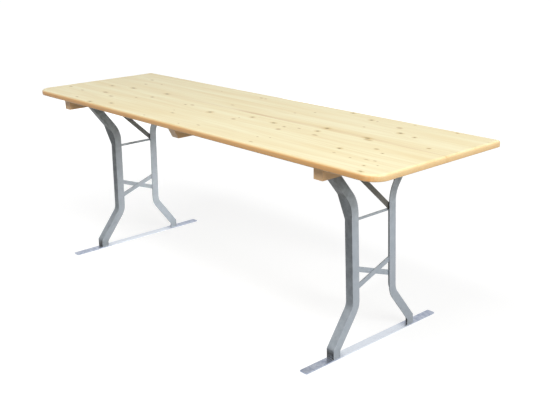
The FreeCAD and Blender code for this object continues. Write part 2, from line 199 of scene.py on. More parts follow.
@dataclass(frozen=True)
class Spruce:
    """Planed spruce under clear satin lacquer."""

    # It gives the eye pale cream early wood, tan late-wood lines, brown knots, deeper tan on the
    # sawn edges with painted shade towards their underside, and a soft gleam.
    name: str
    pale: str = "#F5EBC0"
    late: str = "#E6D29C"
    tone: str = "#ECDAA5"
    edge: str = "#FEC27A"
    edge_low: str = "#E6A25A"
    end: str = "#EECA92"
    end_low: str = "#D6AA70"
    streak: str = "#D2AF6E"
    faint_stain: str = "#B08A30"
    halo: str = "#CDAF62"
    heart: tuple[str, str, str] = ("#5C4610", "#7A5E18", "#9E7C2C")
    axis: GrainAxis = GrainAxis.ALONG_X
    pith: tuple[float, float] = (0.0, -90.0)
    tilt_deg: float = 0.6
    seed: float = 0.0
    seed_steps: Triple = (1.0, 1.7, 0.6)
    streak_y: float | None = None
    knots: tuple[Knot, ...] = ()
    faint_knots: tuple[Knot, ...] = ()
    # Annual rings are 2 to 4 mm wide; they are drawn 11 mm wide so that they show at this distance.
    ring_mm: float = 11.0
    ring_stops: tuple[tuple[float, float], ...] = (
        (0.0, 0.25), (0.18, 0.0), (0.5, 0.12), (0.86, 1.0), (1.0, 0.25),
    )
    wander_mm: float = 14.0
    wander_period_mm: Triple = (700.0, 120.0, 120.0)
    # Bundles of fibres are under 1 mm wide; they are drawn 4 mm wide so that they show.
    fibre_mm: Triple = (400.0, 4.0, 4.0)
    broad_mm: Triple = (620.0, 48.0, 48.0)
    drift_mm: Triple = (380.0, 26.0, 26.0)
    knot_depth_mm: float = 400.0
    streak_mm: float = 44.0
    broad_share: Span = Span(0.36, 0.7)
    late_share: Span = Span(0.35, 0.65, 0.12, 0.6)
    knot_pull: Span = Span(0.8, 4.5, 2.2, 0.0)
    faint_share: Span = Span(0.3, 1.6, 0.85, 0.0)
    halo_share: Span = Span(0.9, 3.0, 0.7, 0.0)
    heart_share: Span = Span(0.65, 1.15, 0.86, 0.0)
    streak_drift: Span = Span(0.32, 0.62, 0.2, 1.0)
    streak_fade: Span = Span(-700.0, 100.0, 0.12, 1.0)
    # Painted shade: the sawn edges darken over this height towards the underside of the top.
    edge_depth: Span = Span(756.0, 772.0, 1.0, 0.0)
    end_cut: Span = Span(0.5, 0.9)
    side_share: Span = Span(0.25, 0.9, 0.92, 0.0)
    side_patches: Span = Span(0.3, 0.7, 0.8, 1.1)
    roughness: Span = Span(0.3, 0.7, 0.36, 0.48)
    relief_mm: float = 0.3
    relief: float = 0.06
    ior: float = 1.5
    coat: float = 0.12
    coat_roughness: float = 0.3

    def build(self) -> Material:
        """Make the material.

        Returns:
            The finished wood.
        """
        material, tree = new_material(self.name)
        place = add_node(tree, "TexCoord", out="Object")
        turn = (0, 0, math.radians(self.axis.value))
        spot = add_node(tree, "Mapping", {0: place, "Rotation": turn, "Scale": (1 / MM,) * 3})
        knot_near = self._knot_distance(tree, spot, self.knots)
        faint_near = self._knot_distance(tree, spot, self.faint_knots)
        rings = self._rings(tree, spot, knot_near)
        fibre = self._noise(tree, spot, self.fibre_mm, 3.0)
        colour = self._colour(tree, spot, rings, fibre)
        colour = self._knot_colour(tree, colour, knot_near, faint_near)
        colour = self._edge_colour(tree, place, colour, fibre)
        height = add_node(tree, "Math", {0: rings, 1: fibre}, operation="ADD")
        relief = {"Height": height, "Strength": self.relief, "Distance": self.relief_mm * MM}
        looks = {
            "Base Color": colour,
            "Roughness": add_node(tree, "MapRange", self.roughness.of(fibre)),
            "IOR": self.ior,
            "Coat Weight": self.coat,
            "Coat Roughness": self.coat_roughness,
            "Normal": add_node(tree, "Bump", relief),
        }
        close_material(tree, looks)
        return material

    def _noise(self, tree: Tree, spot: Socket, period: Triple, detail: float) -> Socket:
        """Add stretched noise.

        Args:
            tree: the node tree.
            spot: places in millimetres.
            period: size of one feature along, across and down, in millimetres.
            detail: octaves of the noise.

        Returns:
            The noise value, about 0.3 to 0.7.
        """
        start = [self.seed * step for step in self.seed_steps]
        inputs = {0: spot, "Location": start, "Scale": [1 / size for size in period]}
        scaled = add_node(tree, "Mapping", inputs)
        return add_node(tree, "TexNoise", {0: scaled, "Scale": 1.0, "Detail": detail})

    def _knot_distance(self, tree: Tree, spot: Socket, knots: tuple[Knot, ...]) -> Socket | None:
        """Add the distance to the nearest knot.

        Args:
            tree: the node tree.
            spot: places in millimetres.
            knots: the knots to measure to.

        Returns:
            The distance, 1 at a knot's rim, or None where there are no knots.
        """
        nearest = None
        for knot in knots:
            size = (knot.half_length, knot.half_width, self.knot_depth_mm)
            inputs = {0: spot, 1: (knot.x, knot.y, BOARD_MIDDLE), 3: size}
            local = add_node(tree, "Mapping", inputs, vector_type="TEXTURE")
            reach = add_node(tree, "VectorMath", {0: local}, "Value", operation="LENGTH")
            if nearest is None:
                nearest = reach
            else:
                nearest = add_node(tree, "Math", {0: nearest, 1: reach}, operation="MINIMUM")
        return nearest

    def _rings(self, tree: Tree, spot: Socket, knot_near: Socket | None) -> Socket:
        """Add the growth rings of a log whose pith runs below the board.

        Args:
            tree: the node tree.
            spot: places in millimetres.
            knot_near: distance to the nearest knot, which the rings go round.

        Returns:
            How much late wood there is, 0 to 1.
        """
        period = [1 / size for size in self.wander_period_mm]
        slow = add_node(tree, "Mapping", {0: spot, 1: (self.seed, 0, 0), 3: period})
        wander = add_node(tree, "TexNoise", {0: slow, "Scale": 1.0, "Detail": 2.0}, "Color")
        swing = 2 * self.wander_mm
        sway = {0: wander, 1: (0, swing, swing), 2: (0, -swing / 2, -swing / 2)}
        offset = add_node(tree, "VectorMath", sway, operation="MULTIPLY_ADD")
        wavy = add_node(tree, "VectorMath", {0: spot, 1: offset}, operation="ADD")
        pith = {
            0: wavy,
            1: (0, self.pith[0], BOARD_MIDDLE + self.pith[1]),
            2: (0, math.radians(self.tilt_deg), 0),
            3: (1, self.ring_mm, self.ring_mm),
        }
        log = add_node(tree, "Mapping", pith, vector_type="TEXTURE")
        flat = add_node(tree, "VectorMath", {0: log, 1: (0, 1, 1)}, operation="MULTIPLY")
        count = add_node(tree, "VectorMath", {0: flat}, "Value", operation="LENGTH")
        if knot_near is not None:
            inputs = self.knot_pull.of(knot_near)
            pull = add_node(tree, "MapRange", inputs, interpolation_type="SMOOTHERSTEP")
            count = add_node(tree, "Math", {0: count, 1: pull}, operation="ADD")
        part = add_node(tree, "Math", {0: count}, operation="FRACT")
        stops = [(position, grey(value)) for position, value in self.ring_stops]
        return add_node(tree, "ValToRGB", {0: part}, stops=stops)

    def _colour(self, tree: Tree, spot: Socket, rings: Socket, fibre: Socket) -> Socket:
        """Add the colour of the clear wood.

        Args:
            tree: the node tree.
            spot: places in millimetres.
            rings: how much late wood there is.
            fibre: fine noise along the grain.

        Returns:
            The colour.
        """
        broad = self._noise(tree, spot, self.broad_mm, 3.0)
        share = add_node(tree, "MapRange", self.broad_share.of(broad))
        early = {0: share, 6: linear(self.pale), 7: linear(self.tone)}
        colour = add_node(tree, "Mix", early, 2, data_type="RGBA")
        patchy = add_node(tree, "MapRange", self.late_share.of(fibre))
        amount = add_node(tree, "Math", {0: rings, 1: patchy}, operation="MULTIPLY")
        late = {0: amount, 6: colour, 7: linear(self.late)}
        colour = add_node(tree, "Mix", late, 2, data_type="RGBA")
        return colour if self.streak_y is None else self._streak(tree, spot, colour)

    def _knot_colour(
        self, tree: Tree, colour: Socket, knot_near: Socket | None, faint_near: Socket | None
    ) -> Socket:
        """Add the knots: dark hearts with a yellow halo, and faint ones that only show as a stain.

        Args:
            tree: the node tree.
            colour: the colour of the clear wood.
            knot_near: distance to the nearest dark knot, or None.
            faint_near: distance to the nearest faint knot, or None.

        Returns:
            The colour with its knots.
        """
        stains = []
        if faint_near is not None:
            stains.append((self.faint_share.of(faint_near), linear(self.faint_stain)))
        if knot_near is not None:
            stops = [(i / 2, linear(shade)) for i, shade in enumerate(self.heart)]
            heart = add_node(tree, "ValToRGB", {0: knot_near}, stops=stops)
            stains.append((self.halo_share.of(knot_near), linear(self.halo)))
            stains.append((self.heart_share.of(knot_near), heart))
        for share, stain in stains:
            amount = add_node(tree, "MapRange", share, interpolation_type="SMOOTHSTEP")
            colour = add_node(tree, "Mix", {0: amount, 6: colour, 7: stain}, 2, data_type="RGBA")
        return colour

    def _streak(self, tree: Tree, spot: Socket, colour: Socket) -> Socket:
        """Add a band of darker wood along one edge of the board.

        Args:
            tree: the node tree.
            spot: places in millimetres.
            colour: the colour so far.

        Returns:
            The colour with the band.
        """
        axes = add_node(tree, "SeparateXYZ", {0: spot}).node.outputs
        reach = Span(self.streak_y, self.streak_y + self.streak_mm, 1.0, 0.0).of(axes["Y"])
        band = add_node(tree, "MapRange", reach, interpolation_type="SMOOTHSTEP")
        drift = self._noise(tree, spot, self.drift_mm, 2.0)
        uneven = add_node(tree, "MapRange", self.streak_drift.of(drift))
        along = self.streak_fade.of(axes["X"])
        fade = add_node(tree, "MapRange", along, interpolation_type="SMOOTHSTEP")
        patchy = add_node(tree, "Math", {0: fade, 1: uneven}, operation="MULTIPLY")
        amount = add_node(tree, "Math", {0: band, 1: patchy}, operation="MULTIPLY")
        layers = {0: amount, 6: colour, 7: linear(self.streak)}
        return add_node(tree, "Mix", layers, 2, data_type="RGBA")

    def _edge_colour(self, tree: Tree, place: Socket, colour: Socket, fibre: Socket) -> Socket:
        """Add the deeper tan of the sawn edges, darkened towards the underside as painted shade,
        and the end grain.

        Args:
            tree: the node tree.
            place: places on the piece, in metres.
            colour: the colour of the faces.
            fibre: fine noise along the grain.

        Returns:
            The colour with its edges.
        """
        depth = add_node(tree, "SeparateXYZ", {0: place}, "Z")
        # Painted shade: the edges darken towards the underside.
        low = add_node(tree, "MapRange", self.edge_depth.of(depth, MM))
        pairs = ((self.edge, self.edge_low), (self.end, self.end_low))
        layers = [{0: low, 6: linear(high), 7: linear(deep)} for high, deep in pairs]
        edge, end = (add_node(tree, "Mix", each, 2, data_type="RGBA") for each in layers)
        normal = place.node.outputs["Normal"]
        facing = add_node(tree, "SeparateXYZ", {0: normal}).node.outputs
        along = add_node(tree, "Math", {0: facing[self.axis.letter]}, operation="ABSOLUTE")
        cut = add_node(tree, "MapRange", self.end_cut.of(along))
        tan = add_node(tree, "Mix", {0: cut, 6: edge, 7: end}, 2, data_type="RGBA")
        level = add_node(tree, "Math", {0: facing["Z"]}, operation="ABSOLUTE")
        side = add_node(tree, "MapRange", self.side_share.of(level))
        uneven = add_node(tree, "MapRange", self.side_patches.of(fibre))
        amount = add_node(tree, "Math", {0: side, 1: uneven}, operation="MULTIPLY")
        return add_node(tree, "Mix", {0: amount, 6: colour, 7: tan}, 2, data_type="RGBA")


@dataclass(frozen=True)
class ShadeAndDirt:
    """A darkening layer of painted shade and dirt: its colour, and its share by height and by how
    far a face looks along Y.
    """

    colour: str
    by_height: Span
    by_facing: Span


@dataclass(frozen=True)
class PaintedSteel:
    """Hot-rolled steel under sprayed satin paint."""

    # It gives the eye an even satin grey with a faint mottle, painted shade on the webs by the
    # floor and up the legs, and greasy dirt by the axle with painted shade from the top.
    name: str
    colour: str
    mottle: str
    roughness: Span = Span(0.3, 0.7, 0.36, 0.5)
    # The mottle of a sprayed coat on mill scale is about 25 mm across.
    mottle_mm: float = 25.0
    # The peel of a sprayed coat is about 1 mm across; it is drawn 3 mm across so that it shows.
    speck_mm: float = 3.0
    mottle_share: Span = Span(0.35, 0.7, 0.0, 0.8)
    shade_and_dirt_patches: Span = Span(0.35, 0.6, 0.6, 1.0)
    shade_and_dirt: tuple[ShadeAndDirt, ...] = (
        # Painted shade: the webs by the floor go near black, as the hollow of each ankle lies in
        # deep shade.
        ShadeAndDirt("#2A2B2A", Span(22.0, 58.0, 1.15, 0.0), Span(0.0, 1.0, 0.12, 0.95)),
        # Painted shade: the faces that look along Y, the webs, are darkened all the way up, a
        # little more from the waist up.
        ShadeAndDirt("#2A2B2A", Span(60.0, 330.0, 0.24, 0.45), Span(0.0, 1.0)),
        # Greasy dirt and painted shade from the top: every face of the legs darkens from 420 mm up
        # towards the axle.
        ShadeAndDirt("#484630", Span(420.0, 700.0, 0.0, 0.6), Span(0.0, 1.0, 1.0, 1.0)),
    )
    relief_mm: float = 0.2
    relief: float = 0.12
    ior: float = 1.5

    def build(self) -> Material:
        """Make the material.

        Returns:
            The finished paint.
        """
        material, tree = new_material(self.name)
        place = add_node(tree, "TexCoord", out="Object")
        coat = {"Scale": 1 / (self.mottle_mm * MM), "Detail": 3.0, "Roughness": 0.6}
        patch = add_node(tree, "TexNoise", {0: place, **coat})
        share = add_node(tree, "MapRange", self.mottle_share.of(patch))
        layers = {0: share, 6: linear(self.colour), 7: linear(self.mottle)}
        colour = add_node(tree, "Mix", layers, 2, data_type="RGBA")
        grain = {"Scale": 1 / (self.speck_mm * MM), "Detail": 2.0}
        speck = add_node(tree, "TexNoise", {0: place, **grain})
        relief = {"Height": speck, "Strength": self.relief, "Distance": self.relief_mm * MM}
        looks = {
            "Base Color": self._shaded_and_soiled(tree, place, patch, colour),
            "Metallic": 0.0,
            "Roughness": add_node(tree, "MapRange", self.roughness.of(speck)),
            "IOR": self.ior,
            "Normal": add_node(tree, "Bump", relief),
        }
        close_material(tree, looks)
        return material

    def _shaded_and_soiled(self, tree: Tree, place: Socket, patch: Socket, colour: Socket) -> Socket:
        """Add the painted shade on the webs by the floor and up the legs, and the greasy dirt and
        painted shade by the axle.

        Args:
            tree: the node tree.
            place: places on the piece, in metres.
            patch: noise that breaks the painted shade and the dirt up.
            colour: the clean colour.

        Returns:
            The colour with its painted shade and dirt.
        """
        height = add_node(tree, "SeparateXYZ", {0: place}, "Z")
        sideways = add_node(tree, "SeparateXYZ", {0: place.node.outputs["Normal"]}, "Y")
        web = add_node(tree, "Math", {0: sideways}, operation="ABSOLUTE")
        uneven = add_node(tree, "MapRange", self.shade_and_dirt_patches.of(patch))
        # Each layer darkens the colour as painted shade and dirt, by height and by which way a face
        # looks.
        for shade_and_dirt in self.shade_and_dirt:
            rise = shade_and_dirt.by_height.of(height, MM)
            share = add_node(tree, "MapRange", rise, interpolation_type="SMOOTHSTEP")
            where = add_node(tree, "MapRange", shade_and_dirt.by_facing.of(web))
            placed = add_node(tree, "Math", {0: share, 1: where}, operation="MULTIPLY")
            amount = add_node(tree, "Math", {0: placed, 1: uneven}, operation="MULTIPLY")
            layers = {0: amount, 6: colour, 7: linear(shade_and_dirt.colour)}
            colour = add_node(tree, "Mix", layers, 2, data_type="RGBA")
        return colour


@dataclass(frozen=True)
class ZincSteel:
    """Hot-dip galvanised mild steel."""

    # It gives the eye a bright grey metal with a faint spangle and dull scuffs.
    name: str
    colour: str
    dull: str
    roughness: Span = Span(0.0, 1.0, 0.28, 0.46)
    # Spangle crystals are about 9 mm across.
    spangle_mm: float = 9.0
    scuff_mm: float = 30.0
    # A bar that shoes rest on is rubbed bright this far to each side of the middle; the bright
    # middle is also a painted highlight, and the dull ends also paint the shade by the legs.
    rubbed_and_highlight_mm: float = 0.0
    spangle_share: float = 0.25
    worn: Span = Span(0.42, 0.68, 0.48, 0.66)
    rubbed_and_highlight_start: float = 0.7
    rubbed_and_highlight_kept: float = 0.15
    metallic: float = 0.9
    relief_mm: float = 0.1
    relief: float = 0.05

    def build(self) -> Material:
        """Make the material.

        Returns:
            The finished zinc.
        """
        material, tree = new_material(self.name)
        place = add_node(tree, "TexCoord", out="Object")
        crystals = {0: place, "Scale": 1 / (self.spangle_mm * MM)}
        spangle = add_node(tree, "TexVoronoi", crystals, "Color")
        tint = add_node(tree, "SeparateXYZ", {0: spangle}, "X")
        marks = {"Scale": 1 / (self.scuff_mm * MM), "Detail": 4.0, "Roughness": 0.65}
        scuff = add_node(tree, "TexNoise", {0: place, **marks})
        worn = add_node(tree, "MapRange", self.worn.of(scuff))
        parts = {0: tint, 1: self.spangle_share, 2: worn}
        share = add_node(tree, "Math", parts, operation="MULTIPLY_ADD", use_clamp=True)
        # Rubbed bright by shoes and also a painted highlight in the middle of the bar; the dull
        # share comes back towards its ends as painted shade by the legs.
        if self.rubbed_and_highlight_mm > 0:
            across = add_node(tree, "SeparateXYZ", {0: place}, "Y")
            out = add_node(tree, "Math", {0: across}, operation="ABSOLUTE")
            start = self.rubbed_and_highlight_start * self.rubbed_and_highlight_mm
            rub_and_highlight = Span(start, self.rubbed_and_highlight_mm, self.rubbed_and_highlight_kept, 1.0).of(out, MM)
            kept = add_node(tree, "MapRange", rub_and_highlight, interpolation_type="SMOOTHSTEP")
            share = add_node(tree, "Math", {0: share, 1: kept}, operation="MULTIPLY")
        layers = {0: share, 6: linear(self.colour), 7: linear(self.dull)}
        relief = {"Height": tint, "Strength": self.relief, "Distance": self.relief_mm * MM}
        looks = {
            "Base Color": add_node(tree, "Mix", layers, 2, data_type="RGBA"),
            "Metallic": self.metallic,
            "Roughness": add_node(tree, "MapRange", self.roughness.of(share)),
            "Normal": add_node(tree, "Bump", relief),
        }
        close_material(tree, looks)
        return material


def dress(names: list[str], material: Material) -> None:
    """Give nodes of the frame a material.

    Args:
        names: the nodes' names.
        material: what they get.
    """
    for name in names:
        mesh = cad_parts[name].data
        mesh.materials.clear()
        mesh.materials.append(material)
        LOG.info("dressed %s in %s", name, material.name)


def add_piece(name: str, mesh: Mesh, material: Material, body: str) -> None:
    """Put a new piece in the scene.

    Args:
        name: the piece's name.
        mesh: its mesh, in the row frame.
        material: its finish.
        body: the body that carries it.
    """
    piece = bpy.data.objects.new(name, mesh)
    bpy.context.scene.collection.objects.link(piece)
    mesh.materials.clear()
    mesh.materials.append(material)
    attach(piece, body)
    LOG.info("made %s on %s", name, body)


# The knots of each board by their middle and half sizes: dark ones first, then faint ones.
BOARD_KNOTS: dict[str, tuple[tuple[Row, ...], tuple[Row, ...]]] = {
    "front": (
        ((-767, -304, 7, 3), (-622, -320, 9, 5), (-516, -274, 9, 5), (-141, -208, 7, 3),
         (984, -261, 4, 3), (1022, -318, 7, 4)),
        ((-1040, -184, 13, 8), (-904, -197, 12, 5), (-664, -185, 14, 7), (-193, -314, 6, 4),
         (-185, -168, 5, 3), (43, -310, 5, 3), (124, -273, 10, 4), (439, -239, 6, 3),
         (480, -306, 11, 4), (482, -215, 4, 3), (800, -208, 8, 3), (884, -218, 6, 3),
         (940, -200, 12, 3), (972, -194, 7, 4), (1014, -229, 4, 3)),
    ),
    "mid_front": (
        ((-900, -34, 8, 6), (-766, 4, 12, 7), (-502, -65, 7, 5), (-248, -63, 6, 3),
         (-40, -88, 9, 8), (166, -30, 7, 6), (308, -42, 9, 6), (388, -59, 5, 4), (533, -22, 7, 6),
         (773, -155, 7, 7), (925, -103, 4, 3)),
        ((-771, -150, 18, 9), (-548, -123, 9, 4), (-216, -49, 11, 6), (132, -72, 5, 3),
         (136, -105, 11, 7), (402, -103, 11, 9), (449, -38, 8, 4), (570, -73, 13, 6),
         (762, 6, 19, 7), (871, -72, 10, 7)),
    ),
    "mid_rear": (
        ((-515, 26, 11, 7), (526, 36, 9, 8), (742, 24, 13, 7), (777, 168, 8, 8),
         (857, 150, 5, 5)),
        ((-815, 108, 10, 6), (-753, 160, 8, 4), (-88, 73, 11, 4), (230, 146, 7, 4),
         (610, 152, 6, 4), (993, 59, 9, 7)),
    ),
    "rear": (
        ((407, 310, 7, 5), (550, 261, 7, 6)),
        ((-896, 200, 13, 6), (-381, 246, 6, 3), (-118, 266, 11, 6), (-88, 265, 8, 5),
         (284, 210, 7, 4), (584, 258, 5, 4), (719, 231, 13, 8), (731, 308, 7, 3),
         (926, 312, 8, 6)),
    ),
}


@dataclass
class Top:
    """The glued top with its battens."""

    height: float = 780.0
    thickness: float = 25.0
    batten_depth: float = 42.0
    batten_x: float = 836.0
    seams: tuple[float, ...] = (-335.0, -160.0, 15.0, 175.0, 335.0)

    def dress_wood(self) -> None:
        """Dress the boards and the battens."""
        streak = self.seams[2]
        logs = {
            "front": {"pith": (-250, -70), "tilt_deg": 0.9, "seed": 3.1},
            "mid_front": {"pith": (-60, -110), "tilt_deg": -0.7, "seed": 7.7},
            "mid_rear": {"pith": (120, -60), "tilt_deg": 0.8, "seed": 12.4, "streak_y": streak},
            "rear": {"pith": (240, -120), "tilt_deg": -0.6, "seed": 17.9},
        }
        for name, log in logs.items():
            dark, faint = (tuple(Knot(*row) for row in rows) for rows in BOARD_KNOTS[name])
            # Clear lacquer on planed softwood: cream with fine tan lines and small brown knots.
            wood = Spruce("lacquered_spruce_" + name, knots=dark, faint_knots=faint, **log)
            dress(["top_board_" + name], wood.build())
        # Planed softwood that the sun doesn't reach: warmer and browner than the top.
        batten = Spruce(
            "planed_spruce_batten",
            pale="#EFCFA6", late="#DCB07E", tone="#E8C394",
            edge="#F7CE9D", edge_low="#ECBF8C", end="#FFDCAF", end_low="#F8CB98",
            axis=GrainAxis.ALONG_Y, pith=(0, -160), seed=23.0,
        )
        dress(["batten_left", "batten_middle", "batten_right"], batten.build())

    def batten_screw_places(self) -> list[Vector]:
        """Return the middle of each batten screw, one below each board."""
        rows = [(front + rear) / 2 for front, rear in zip(self.seams, self.seams[1:])]
        low = self.height - self.thickness - self.batten_depth
        return [Vector((x, y, low)) for x in (-self.batten_x, 0.0, self.batten_x) for y in rows]


@dataclass
class Screws:
    """The wood screws that hold the battens and the straps, with crossed slots in their heads."""

    head_radius: float = 4.6
    pan_height: float = 2.2
    pan_shoulder: float = 0.55
    raised_height: float = 0.9
    seat_depth: float = 1.0
    crown_angles: tuple[float, ...] = (0.0, 0.35, 0.7, 1.05, 1.35)
    slot_length: float = 5.0
    slot_width: float = 1.2
    slot_depth: float = 1.4
    segments: int = 28
    turn_step: float = 0.7
    strap_inset: float = 10.0
    strap_thickness: float = 3.0

    def head_profile(self, kind: ScrewHead) -> list[tuple[float, float]]:
        """Return the radius and drop of the head's outline.

        Args:
            kind: pan or raised countersunk.

        Returns:
            Points from the rim to the crown, in millimetres below the seat.
        """
        pan = kind is ScrewHead.PAN
        rise = self.pan_height if pan else self.raised_height
        shoulder = self.pan_shoulder * rise if pan else 0.0
        crown = [
            (self.head_radius * math.cos(a), shoulder + (rise - shoulder) * math.sin(a))
            for a in self.crown_angles
        ]
        return [(self.head_radius, -self.seat_depth)] + crown

    def mesh(self, kind: ScrewHead) -> Mesh:
        """Make one head that hangs below its seat.

        Args:
            kind: pan or raised countersunk.

        Returns:
            The head with its crossed slot, at the origin.
        """
        shape = bmesh.new()
        profile = self.head_profile(kind)
        angles = [math.tau * i / self.segments for i in range(self.segments)]
        rings = [
            [shape.verts.new((r * math.cos(a), r * math.sin(a), -drop)) for a in angles]
            for r, drop in profile
        ]
        for lower, upper in zip(rings, rings[1:]):
            for i in range(self.segments):
                j = (i + 1) % self.segments
                shape.faces.new((lower[i], lower[j], upper[j], upper[i]))
        shape.faces.new(rings[-1])
        shape.faces.new(reversed(rings[0]))
        bmesh.ops.recalc_face_normals(shape, faces=shape.faces)
        head = bpy.data.meshes.new("screw_head_blank")
        shape.to_mesh(head)
        shape.free()
        return self._slotted(head, profile[-1][1], kind)

    def _slotted(self, head: Mesh, crown: float, kind: ScrewHead) -> Mesh:
        """Cut the crossed slot.

        Args:
            head: the plain head.
            crown: how far its crown hangs below the seat.
            kind: pan or raised countersunk.

        Returns:
            The head with the slot, in metres.
        """
        shape = bmesh.new()
        arms = ((self.slot_length, self.slot_width), (self.slot_width, self.slot_length))
        for length, width in arms:
            size = Matrix.Diagonal((length, width, 2 * self.slot_depth, 1.0))
            place = Matrix.Translation((0, 0, -crown)) @ size
            bmesh.ops.create_cube(shape, size=1.0, matrix=place)
        cutter_mesh = bpy.data.meshes.new("screw_slot")
        shape.to_mesh(cutter_mesh)
        shape.free()
        blank = bpy.data.objects.new("screw_blank", head)
        cutter = bpy.data.objects.new("screw_cutter", cutter_mesh)
        for part in (blank, cutter):
            bpy.context.scene.collection.objects.link(part)
        cut = blank.modifiers.new("slot", "BOOLEAN")
        cut.operation = "DIFFERENCE"
        cut.solver = "EXACT"
        cut.use_self = True
        cut.object = cutter
        evaluated = blank.evaluated_get(bpy.context.evaluated_depsgraph_get())
        made = bpy.data.meshes.new_from_object(evaluated)
        made.name = "screw_" + kind.value
        made.transform(Matrix.Scale(MM, 4))
        for part in (blank, cutter):
            bpy.data.objects.remove(part)
        return made

    def place(self, kind: ScrewHead, places: list[Vector], material: Material) -> None:
        """Put heads of one kind below the top.

        Args:
            kind: pan or raised countersunk.
            places: the middle of each seat, in millimetres.
            material: the screws' finish.
        """
        head = self.mesh(kind)
        for number, spot in enumerate(places):
            copy = head.copy()
            turn = Matrix.Rotation(self.turn_step * number, 4, "Z")
            copy.transform(Matrix.Translation(spot * MM) @ turn)
            add_piece(
                "%s_screw_%02d" % (kind.value, number), copy, material, "top"
            )

    def strap_places(self) -> list[Vector]:
        """Return the middle of each strap screw's seat, read from the straps, in millimetres."""
        places = []
        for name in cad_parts:
            if name.startswith("axle_strap_"):
                low, high = (Vector(corner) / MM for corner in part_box(name))
                y, z = (low.y + high.y) / 2, high.z - self.strap_thickness
                for x in (low.x + self.strap_inset, high.x - self.strap_inset):
                    places.append(Vector((x, y, z)))
        return places


@dataclass(frozen=True)
class Bead:
    """A weld bead: its path in metres, half its width in millimetres, and whether it is a ring."""

    path: list[Vector]
    radius: float
    closed: bool = False


